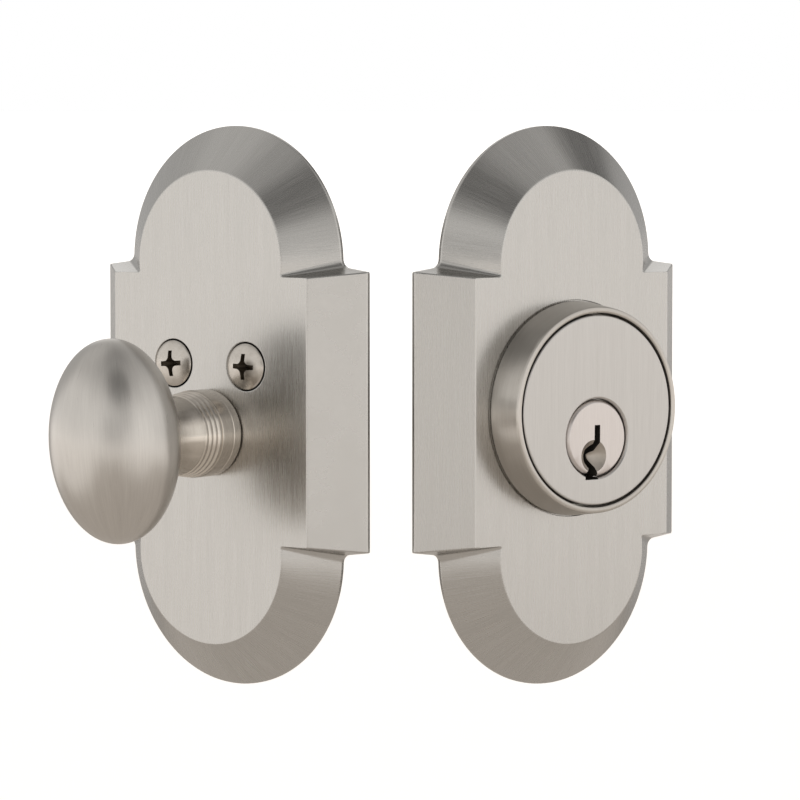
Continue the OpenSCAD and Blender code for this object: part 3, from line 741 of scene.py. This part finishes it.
# painted shade: darker fans of floor either side of the camera's view behind the lock: sideways reach per metre of
# depth, where each fades in and out, the depths between which it fades in, and what it leaves
FAN_INNER, FAN_OUTER, FAN_DEPTH, FAN_LEVEL = (0.18, 0.27), (0.62, 0.85), (0.2, 0.9), 0.31
# painted pools of light, round patches of the floor that glow beside and in front of the lock: x, y, inner and
# outer radius, brightness
GLOW_POOLS = [(-1.0, -0.2, 0.5, 0.68, 0.5), (0.45, -0.75, 0.3, 0.5, 0.4)]
# brightness by height: -1 straight down, 0 level, 1 straight up
CEILING = [(-1, 0.5), (0, 1.04), (0.4, 0.98), (0.7, 0.64), (0.86, 0.54), (0.93, 0.46), (1, 0.34)]
# azimuth, elevation, inner and outer radius in degrees, brightness
PANELS = [
    (-82, 0, 20, 40, 0.95),
    (80, -2, 14, 28, 0.94),
    (45, 2, 12, 28, 1.12),
    (-138, 28, 12, 28, 0.52),
    (-115, 53, 10, 30, 0.66),
    (4, 47, 9, 26, 0.17),
    (136, 33, 8, 25, 0.17),
    (155, 5, 12, 20, 0.46),
    (-155, 5, 12, 20, 0.49),
    (-10, -2, 8, 28, 0.55),
    (14, 17, 4, 12, 0.65),
]


def stage_floor():
    """A pale floor that glows as painted light: grey below the lock, where it barely glows, white away from it,
    painted pools of light beside and in front of it, and two fans of painted shade behind the lock
    that only reflections show."""
    mesh = bpy.data.meshes.new("floor")
    half = FLOOR_SIZE / 2
    z = cad_box[0].z - FLOOR_GAP
    corners = [(-half, -half, z), (half, -half, z), (half, half, z), (-half, half, z)]
    mesh.from_pydata(corners, [], [(0, 1, 2, 3)])
    floor = bpy.data.objects.new("floor", mesh)
    bpy.context.scene.collection.objects.link(floor)
    n = Nodes("pale_floor")
    n.shader.inputs["Roughness"].default_value = 0.9
    n.shader.inputs["Specular IOR Level"].default_value = 0.1
    place = n.add("ShaderNodeTexCoord").outputs["Object"]

    def distance(x, y):
        gap = n.add("ShaderNodeVectorMath", operation="DISTANCE")
        gap.inputs[1].default_value = (x, y, z)
        n.link(place, gap.inputs[0])
        return gap.outputs["Value"]

    def fade(value, start, end, low, high):
        node = n.add("ShaderNodeMapRange", interpolation_type="SMOOTHSTEP")
        node.inputs["From Min"].default_value, node.inputs["From Max"].default_value = start, end
        node.inputs["To Min"].default_value, node.inputs["To Max"].default_value = low, high
        n.link(value, node.inputs["Value"])
        return node.outputs[0]

    def combine(operation, a, b):
        node = n.add("ShaderNodeMath", operation=operation)
        for socket, value in zip(node.inputs, (a, b)):
            if isinstance(value, float):
                socket.default_value = value
            else:
                n.link(value, socket)
        return node.outputs[0]

    # painted light: the floor's glow, faint below the lock and strong away from it
    inside, outside, far = FLOOR_GLOW
    glow = fade(distance(*FLOOR_CENTRE), *FLOOR_FADE, inside, outside)
    glow = combine("ADD", glow, fade(distance(*FLOOR_CENTRE), *FLOOR_FAR, 0.0, far))
    # painted pools of light: round patches of the floor glow brighter beside and in front of the lock
    for x, y, inner, outer, level in GLOW_POOLS:
        glow = combine("MAXIMUM", glow, fade(distance(x, y), inner, outer, level, 0.0))
    # painted shade: two fans behind the lock darken the floor's colour and glow
    split = n.add("ShaderNodeSeparateXYZ")
    n.link(place, split.inputs[0])
    across = combine("ABSOLUTE", combine("SUBTRACT", split.outputs["X"], INTERIOR_X / 2), 0.0)
    slant = combine("DIVIDE", across, combine("MAXIMUM", split.outputs["Y"], 0.01))
    fan = combine("MULTIPLY", fade(slant, *FAN_INNER, 0.0, 1.0), fade(slant, *FAN_OUTER, 1.0, 0.0))
    fan = combine("MULTIPLY", fan, fade(split.outputs["Y"], *FAN_DEPTH, 0.0, 1.0))
    shade = combine("SUBTRACT", 1.0, combine("MULTIPLY", fan, 1 - FAN_LEVEL))
    seen = n.add("ShaderNodeLightPath").outputs["Is Camera Ray"]
    shade = combine("MAXIMUM", shade, seen)
    n.link(n.blend(shade, (0, 0, 0), FLOOR_COLOUR), n.shader.inputs["Base Color"])
    n.shader.inputs["Emission Color"].default_value = (1, 1, 1, 1)
    glow = combine("MAXIMUM", glow, combine("MULTIPLY", seen, FLOOR_SEEN))
    n.link(combine("MULTIPLY", glow, shade), n.shader.inputs["Emission Strength"])
    mesh.materials.append(n.material)


def toward(azimuth, elevation):
    """A direction from the lock: azimuth 0 is towards the camera and 90 to the right, in degrees."""
    a, e = math.radians(azimuth), math.radians(elevation)
    return Vector((math.sin(a) * math.cos(e), -math.cos(a) * math.cos(e), math.sin(e)))


def warm(level):
    """A slightly warm white of a given brightness."""
    return (level, level * 0.985, level * 0.965, 1)


def studio_world():
    """A white studio: bright walls, a dimmer ceiling, and soft panels and dark screens round the
    lock, all of which only reflections show. The camera itself sees plain white."""
    world = bpy.data.worlds.new("studio")
    world.use_nodes = True
    tree = world.node_tree
    back = tree.nodes["Background"]
    direction = tree.nodes.new("ShaderNodeTexCoord").outputs["Generated"]
    split = tree.nodes.new("ShaderNodeSeparateXYZ")
    tree.links.new(direction, split.inputs[0])
    shift = tree.nodes.new("ShaderNodeMapRange")
    shift.inputs["From Min"].default_value = -1
    shift.inputs["From Max"].default_value = 1
    tree.links.new(split.outputs["Z"], shift.inputs["Value"])
    ramp = tree.nodes.new("ShaderNodeValToRGB")
    ramp.color_ramp.elements[0].position, ramp.color_ramp.elements[1].position = 0.0, 1.0
    for height, _ in CEILING[1:-1]:
        ramp.color_ramp.elements.new((height + 1) / 2)
    for element, (height, level) in zip(ramp.color_ramp.elements, CEILING):
        element.position = (height + 1) / 2
        element.color = warm(level)
    tree.links.new(shift.outputs[0], ramp.inputs[0])
    colour = ramp.outputs[0]
    for azimuth, elevation, inner, outer, level in PANELS:
        dot = tree.nodes.new("ShaderNodeVectorMath")
        dot.operation = "DOT_PRODUCT"
        dot.inputs[1].default_value = toward(azimuth, elevation)
        tree.links.new(direction, dot.inputs[0])
        weight = tree.nodes.new("ShaderNodeMapRange")
        weight.interpolation_type = "SMOOTHSTEP"
        weight.inputs["From Min"].default_value = math.cos(math.radians(outer))
        weight.inputs["From Max"].default_value = math.cos(math.radians(inner))
        tree.links.new(dot.outputs["Value"], weight.inputs["Value"])
        mix = tree.nodes.new("ShaderNodeMix")
        mix.data_type = "RGBA"
        tree.links.new(weight.outputs[0], mix.inputs[0])
        tree.links.new(colour, mix.inputs[6])
        mix.inputs[7].default_value = warm(level)
        colour = mix.outputs[2]
    seen = tree.nodes.new("ShaderNodeMix")
    seen.data_type = "RGBA"
    tree.links.new(tree.nodes.new("ShaderNodeLightPath").outputs["Is Camera Ray"], seen.inputs[0])
    tree.links.new(colour, seen.inputs[6])
    seen.inputs[7].default_value = (1, 1, 1, 1)
    tree.links.new(seen.outputs[2], back.inputs["Color"])
    bpy.context.scene.world = world


LENS, SENSOR = 210.4, 36.0
CAMERA_ASIDE, CAMERA_BACK, CAMERA_UP = 1.5, 798.2, 56.9  # mm from the middle between the halves
CAMERA_PITCH = 4.01                    # degrees down


def camera():
    """A long lens, a little above the lock, midway between its two halves."""
    data = bpy.data.cameras.new("camera")
    data.sensor_width = SENSOR
    data.lens = LENS
    cam = bpy.data.objects.new("camera", data)
    cam.location = (INTERIOR_X / 2 + CAMERA_ASIDE * MM, -CAMERA_BACK * MM, CAMERA_UP * MM)
    cam.rotation_euler = (math.radians(90 - CAMERA_PITCH), 0, 0)
    bpy.context.scene.collection.objects.link(cam)
    bpy.context.scene.camera = cam


stage_floor()
studio_world()
camera()
bpy.context.scene.view_settings.view_transform = "Standard"
